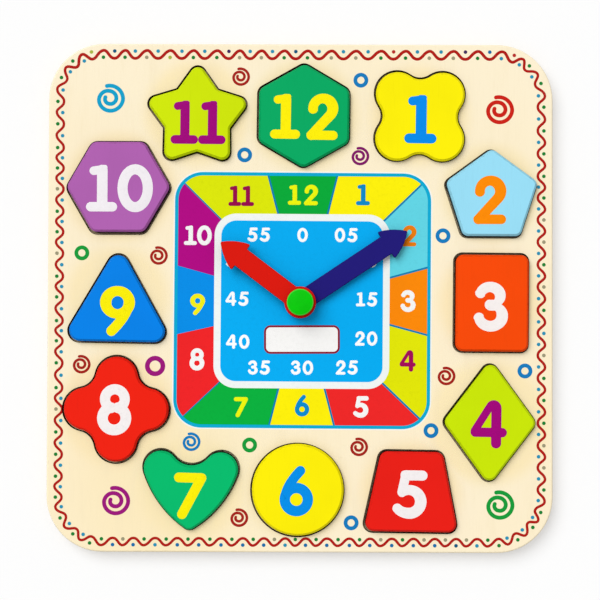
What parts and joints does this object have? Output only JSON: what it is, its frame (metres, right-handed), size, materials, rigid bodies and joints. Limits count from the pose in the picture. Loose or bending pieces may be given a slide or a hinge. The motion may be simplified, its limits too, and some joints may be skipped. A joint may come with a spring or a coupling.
{
  "type": "teaching clock",
  "caption": "Square wooden teaching clock with lift-out shape blocks round its rim and two arrow hands turned by hand on a central hub.",
  "frame": {"origin": "middle of the board's underside, on the centre lines of its outline", "axes": "+X towards three o'clock, +Y towards twelve o'clock, +Z out of the clock's face"},
  "size_m": [0.298, 0.3, 0.0225],
  "materials": {
    "face_birch": "satin lacquer over birch, printed",
    "back_birch": "bare sanded plywood",
    "paint_yellow": "satin paint",
    "paint_light_blue": "satin paint",
    "paint_orange_red": "satin paint",
    "paint_yellow_green": "satin paint",
    "paint_red": "satin paint",
    "paint_green": "satin paint",
    "paint_blue": "satin paint",
    "paint_purple": "satin paint",
    "paint_indigo": "satin paint",
    "paint_hand_red": "satin paint",
    "cap_green": "moulded, slightly glossy",
    "zinc_steel": "bright zinc plating",
    "nylon": "natural nylon"
  },
  "bodies": {
    "board": {"back_panel": "back_birch", "face_panel": "face_birch", "hub_bolt": "zinc_steel", "hub_washer_rear": "zinc_steel", "hub_washer_lower": "nylon", "hub_washer_middle": "nylon", "hub_washer_upper": "nylon", "hub_cap": "cap_green"},
    "minute_hand": {"minute_hand": "paint_indigo"},
    "hour_hand": {"hour_hand": "paint_hand_red"},
    "block_1": {"block_1_lobed_square": "paint_yellow"},
    "block_2": {"block_2_pentagon": "paint_light_blue"},
    "block_3": {"block_3_rectangle": "paint_orange_red"},
    "block_4": {"block_4_rhombus": "paint_yellow_green"},
    "block_5": {"block_5_trapezoid": "paint_red"},
    "block_6": {"block_6_circle": "paint_yellow"},
    "block_7": {"block_7_heart": "paint_green"},
    "block_8": {"block_8_clover": "paint_red"},
    "block_9": {"block_9_triangle": "paint_blue"},
    "block_10": {"block_10_hexagon": "paint_purple"},
    "block_11": {"block_11_star": "paint_yellow_green"},
    "block_12": {"block_12_hexagon": "paint_green"}
  },
  "joints": [
    {"name": "minute_hand_turn", "type": "hinge", "parent": "board", "child": "minute_hand", "pos_m": [0, -0.003, 0.0124], "axis": [0, 0, 1], "continuous": true},
    {"name": "hour_hand_turn", "type": "hinge", "parent": "board", "child": "hour_hand", "pos_m": [0, -0.003, 0.0165], "axis": [0, 0, 1], "continuous": true},
    {"name": "block_1_lift", "type": "slide", "parent": "board", "child": "block_1", "axis": [0, 0, 1], "range_m": [0, 0.02]},
    {"name": "block_2_lift", "type": "slide", "parent": "board", "child": "block_2", "axis": [0, 0, 1], "range_m": [0, 0.02]},
    {"name": "block_3_lift", "type": "slide", "parent": "board", "child": "block_3", "axis": [0, 0, 1], "range_m": [0, 0.02]},
    {"name": "block_4_lift", "type": "slide", "parent": "board", "child": "block_4", "axis": [0, 0, 1], "range_m": [0, 0.02]},
    {"name": "block_5_lift", "type": "slide", "parent": "board", "child": "block_5", "axis": [0, 0, 1], "range_m": [0, 0.02]},
    {"name": "block_6_lift", "type": "slide", "parent": "board", "child": "block_6", "axis": [0, 0, 1], "range_m": [0, 0.02]},
    {"name": "block_7_lift", "type": "slide", "parent": "board", "child": "block_7", "axis": [0, 0, 1], "range_m": [0, 0.02]},
    {"name": "block_8_lift", "type": "slide", "parent": "board", "child": "block_8", "axis": [0, 0, 1], "range_m": [0, 0.02]},
    {"name": "block_9_lift", "type": "slide", "parent": "board", "child": "block_9", "axis": [0, 0, 1], "range_m": [0, 0.02]},
    {"name": "block_10_lift", "type": "slide", "parent": "board", "child": "block_10", "axis": [0, 0, 1], "range_m": [0, 0.02]},
    {"name": "block_11_lift", "type": "slide", "parent": "board", "child": "block_11", "axis": [0, 0, 1], "range_m": [0, 0.02]},
    {"name": "block_12_lift", "type": "slide", "parent": "board", "child": "block_12", "axis": [0, 0, 1], "range_m": [0, 0.02]}
  ]
}
